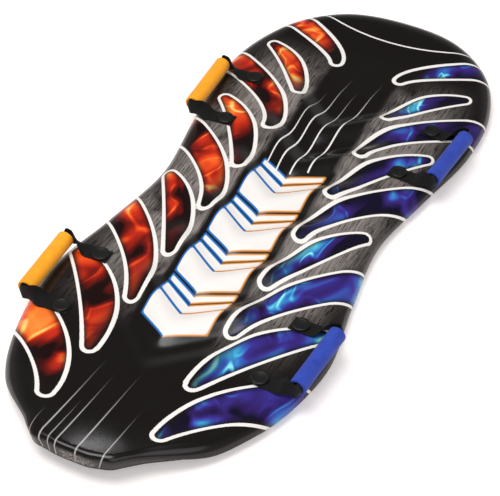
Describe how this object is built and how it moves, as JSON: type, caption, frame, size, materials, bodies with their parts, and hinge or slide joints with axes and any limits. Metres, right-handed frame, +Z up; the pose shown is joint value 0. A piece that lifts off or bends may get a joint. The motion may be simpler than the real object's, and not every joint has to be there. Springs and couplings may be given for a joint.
{
  "type": "foam snow sled",
  "caption": "Foam snow sled with a waisted outline, a kicked nose, chevron waves moulded in its printed deck, a slick base and swinging webbing handles with foam grips.",
  "frame": {"origin": "on the ground under the middle of the board's bounding box", "axes": "+Z up; the nose points to -Y; the riders' left is +X"},
  "size_m": [0.5032, 1.2111, 0.0665],
  "materials": {
    "deck_film": "printed film on soft foam, satin",
    "core_foam": "closed-cell foam, matte",
    "slick_sheet": "smooth polyethylene sheet",
    "webbing": "woven polypropylene",
    "orange_grip_foam": "soft foam tube",
    "blue_grip_foam": "soft foam tube",
    "plug_plastic": "moulded plastic"
  },
  "bodies": {
    "board": {"deck_skin": "deck_film", "foam_core": "core_foam", "slick_base": "slick_sheet", "front_left_strap_end_fore": "webbing", "front_left_plug_fore": "plug_plastic", "front_left_anchor_fore": "plug_plastic", "front_left_strap_end_aft": "webbing", "front_left_plug_aft": "plug_plastic", "front_left_anchor_aft": "plug_plastic", "front_right_strap_end_fore": "webbing", "front_right_plug_fore": "plug_plastic", "front_right_anchor_fore": "plug_plastic", "front_right_strap_end_aft": "webbing", "front_right_plug_aft": "plug_plastic", "front_right_anchor_aft": "plug_plastic", "rear_left_strap_end_fore": "webbing", "rear_left_plug_fore": "plug_plastic", "rear_left_anchor_fore": "plug_plastic", "rear_left_strap_end_aft": "webbing", "rear_left_plug_aft": "plug_plastic", "rear_left_anchor_aft": "plug_plastic", "rear_right_strap_end_fore": "webbing", "rear_right_plug_fore": "plug_plastic", "rear_right_anchor_fore": "plug_plastic", "rear_right_strap_end_aft": "webbing", "rear_right_plug_aft": "plug_plastic", "rear_right_anchor_aft": "plug_plastic"},
    "front_left_handle": {"front_left_strap": "webbing"},
    "front_left_roll": {"front_left_grip": "blue_grip_foam"},
    "front_right_handle": {"front_right_strap": "webbing"},
    "front_right_roll": {"front_right_grip": "orange_grip_foam"},
    "rear_left_handle": {"rear_left_strap": "webbing"},
    "rear_left_roll": {"rear_left_grip": "blue_grip_foam"},
    "rear_right_handle": {"rear_right_strap": "webbing"},
    "rear_right_roll": {"rear_right_grip": "orange_grip_foam"}
  },
  "joints": [
    {"name": "front_left_swing", "type": "hinge", "parent": "board", "child": "front_left_handle", "pos_m": [0.19598, -0.279, 0.0392], "axis": [-0.0436, -0.999, 0], "range_deg": [0, 75]},
    {"name": "front_left_turn", "type": "hinge", "parent": "front_left_handle", "child": "front_left_roll", "pos_m": [0.23494, -0.2807, 0.0525], "axis": [0.0436, 0.999, 0], "continuous": true},
    {"name": "front_right_swing", "type": "hinge", "parent": "board", "child": "front_right_handle", "pos_m": [-0.19598, -0.279, 0.0392], "axis": [-0.0436, 0.999, 0], "range_deg": [0, 75]},
    {"name": "front_right_turn", "type": "hinge", "parent": "front_right_handle", "child": "front_right_roll", "pos_m": [-0.23494, -0.2807, 0.0525], "axis": [-0.0436, 0.999, 0], "continuous": true},
    {"name": "rear_left_swing", "type": "hinge", "parent": "board", "child": "rear_left_handle", "pos_m": [0.18946, 0.2486, 0.0392], "axis": [-0.061, -0.9981, 0], "range_deg": [0, 75]},
    {"name": "rear_left_turn", "type": "hinge", "parent": "rear_left_handle", "child": "rear_left_roll", "pos_m": [0.22838, 0.24621, 0.0525], "axis": [0.061, 0.9981, 0], "continuous": true},
    {"name": "rear_right_swing", "type": "hinge", "parent": "board", "child": "rear_right_handle", "pos_m": [-0.18946, 0.2486, 0.0392], "axis": [-0.061, 0.9981, 0], "range_deg": [0, 75]},
    {"name": "rear_right_turn", "type": "hinge", "parent": "rear_right_handle", "child": "rear_right_roll", "pos_m": [-0.22838, 0.24621, 0.0525], "axis": [-0.061, 0.9981, 0], "continuous": true}
  ]
}
